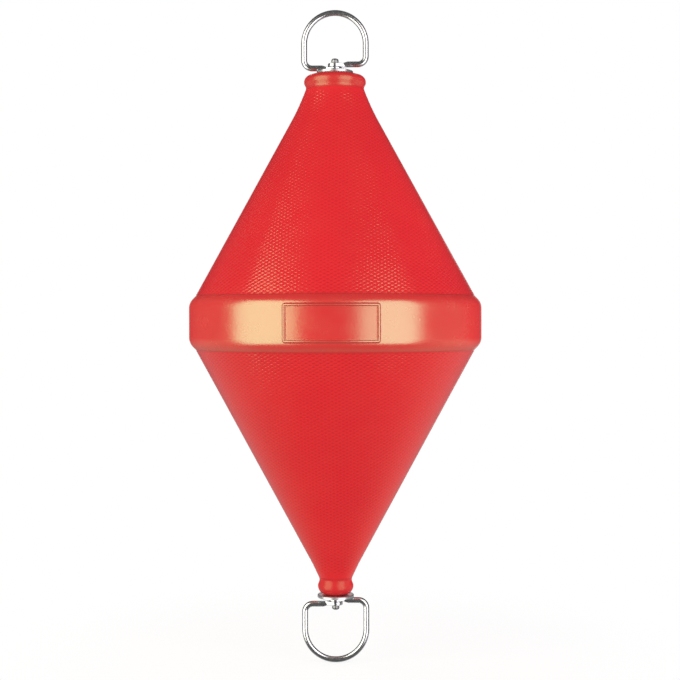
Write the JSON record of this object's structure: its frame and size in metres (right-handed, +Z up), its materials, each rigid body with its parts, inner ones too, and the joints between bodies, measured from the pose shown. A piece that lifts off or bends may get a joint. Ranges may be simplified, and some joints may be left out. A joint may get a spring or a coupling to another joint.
{
  "type": "navigation marker buoy",
  "caption": "Biconical moulded marker buoy with a rounded belt, held on a galvanised through rod that carries a swivelling wire mooring ring at the top and another at the bottom.",
  "frame": {"origin": "on the axis at mid-belt, the height at which the hull is meant to float when its mooring pulls it down", "axes": "+Z up along the through rod, -Y towards the panel on the belt, +X to the right seen from the panel side"},
  "size_m": [0.4, 0.4009, 0.8974],
  "materials": {
    "hull_plastic": "satin moulded polyethylene with a fine diamond grain on both cones and a smooth belt",
    "galvanised_rod": "galvanised, dull where the head is peened",
    "galvanised_plate": "bright zinc plate",
    "galvanised_wire": "bright zinc plated drawn wire"
  },
  "bodies": {
    "hull": {"shell": "hull_plastic", "through_rod": "galvanised_rod", "top_washer": "galvanised_plate", "bottom_washer": "galvanised_plate"},
    "top_ring": {"top_ring": "galvanised_wire"},
    "bottom_ring": {"bottom_ring": "galvanised_wire"}
  },
  "joints": [
    {"name": "top_ring_swivel", "type": "hinge", "parent": "hull", "child": "top_ring", "pos_m": [0, 0, 0.3503], "axis": [0, 0, 1], "continuous": true},
    {"name": "bottom_ring_swivel", "type": "hinge", "parent": "hull", "child": "bottom_ring", "pos_m": [0, 0, -0.3836], "axis": [0, 0, 1], "continuous": true}
  ]
}
